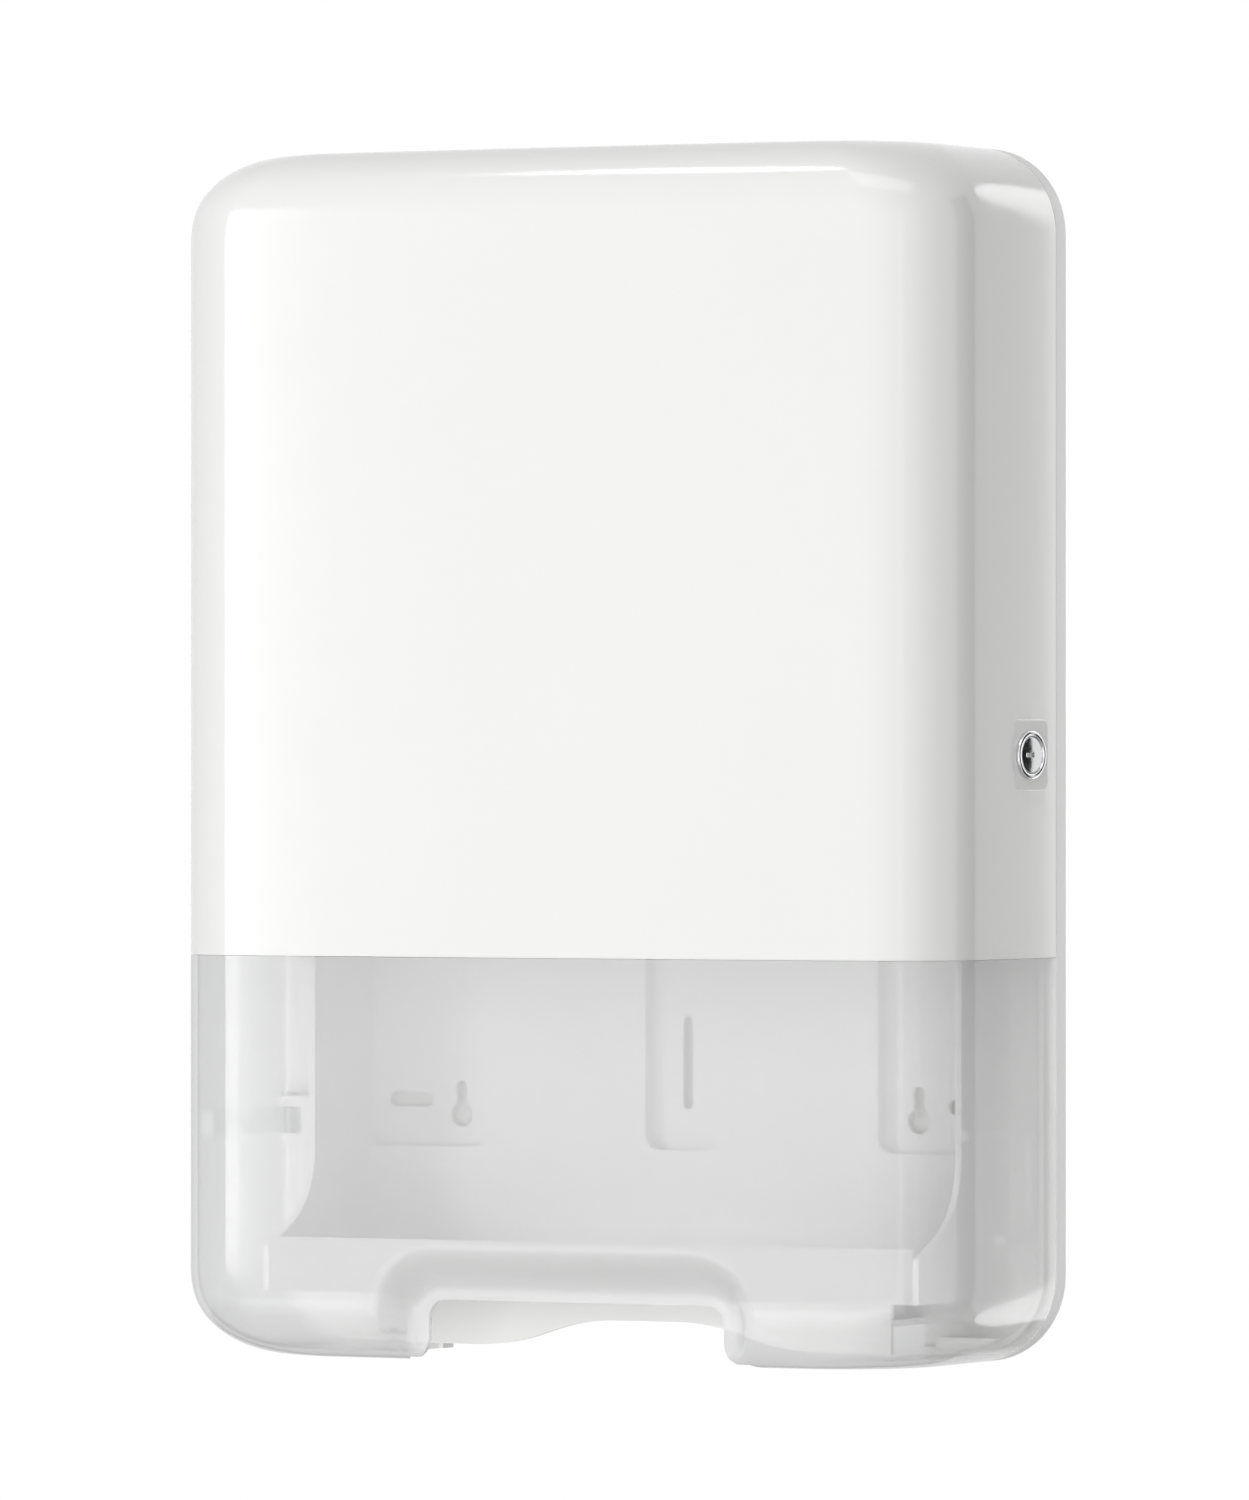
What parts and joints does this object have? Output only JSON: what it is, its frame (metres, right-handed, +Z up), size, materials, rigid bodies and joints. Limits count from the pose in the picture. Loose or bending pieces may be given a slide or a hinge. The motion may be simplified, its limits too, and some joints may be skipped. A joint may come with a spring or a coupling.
{
  "type": "folded towel dispenser",
  "caption": "Wall-hung dispenser for folded hand towels: white cover with a clear lower part and outlet notch, side-hinged on a wall plate, cam lock on the right side.",
  "frame": {"origin": "on the wall plane at the middle of the front-view outline", "axes": "+Y into the wall, -Y out to the user, +Z up, +X toward the lock side"},
  "size_m": [0.3265, 0.107, 0.444],
  "materials": {
    "white_cover": "glossy white moulded plastic",
    "clear_cover": "clear, slightly smoky moulded plastic",
    "housing_plastic": "satin light grey moulded plastic",
    "chrome": "polished chrome plate",
    "steel": "zinc-plated steel"
  },
  "bodies": {
    "housing": {"back_housing": "housing_plastic", "outlet_floor": "housing_plastic", "towel_tray": "housing_plastic", "hinge_bracket_upper": "housing_plastic", "hinge_bracket_lower": "housing_plastic", "hinge_pin_upper": "steel", "hinge_pin_lower": "steel", "bracket_screws": "steel", "lock_keeper": "steel", "keeper_screw": "steel", "bottom_stop": "housing_plastic"},
    "cover": {"cover_upper": "white_cover", "cover_window": "clear_cover", "hinge_arm_upper": "white_cover", "hinge_arm_lower": "clear_cover", "lock_bezel": "chrome", "lock_case": "steel", "lock_nut": "steel", "catch_arm_upper": "white_cover", "catch_arm_lower": "clear_cover"},
    "lock_plug": {"lock_barrel": "chrome", "lock_cam": "steel", "cam_screw": "steel"}
  },
  "joints": [
    {"name": "cover_swing", "type": "hinge", "parent": "housing", "child": "cover", "pos_m": [-0.154, -0.0155, 0], "axis": [0, 0, -1], "range_deg": [0, 90]},
    {"name": "lock_turn", "type": "hinge", "parent": "cover", "child": "lock_plug", "pos_m": [0.1626, -0.034, 0], "axis": [0.9848, -0.1736, 0], "range_deg": [0, 90]}
  ]
}
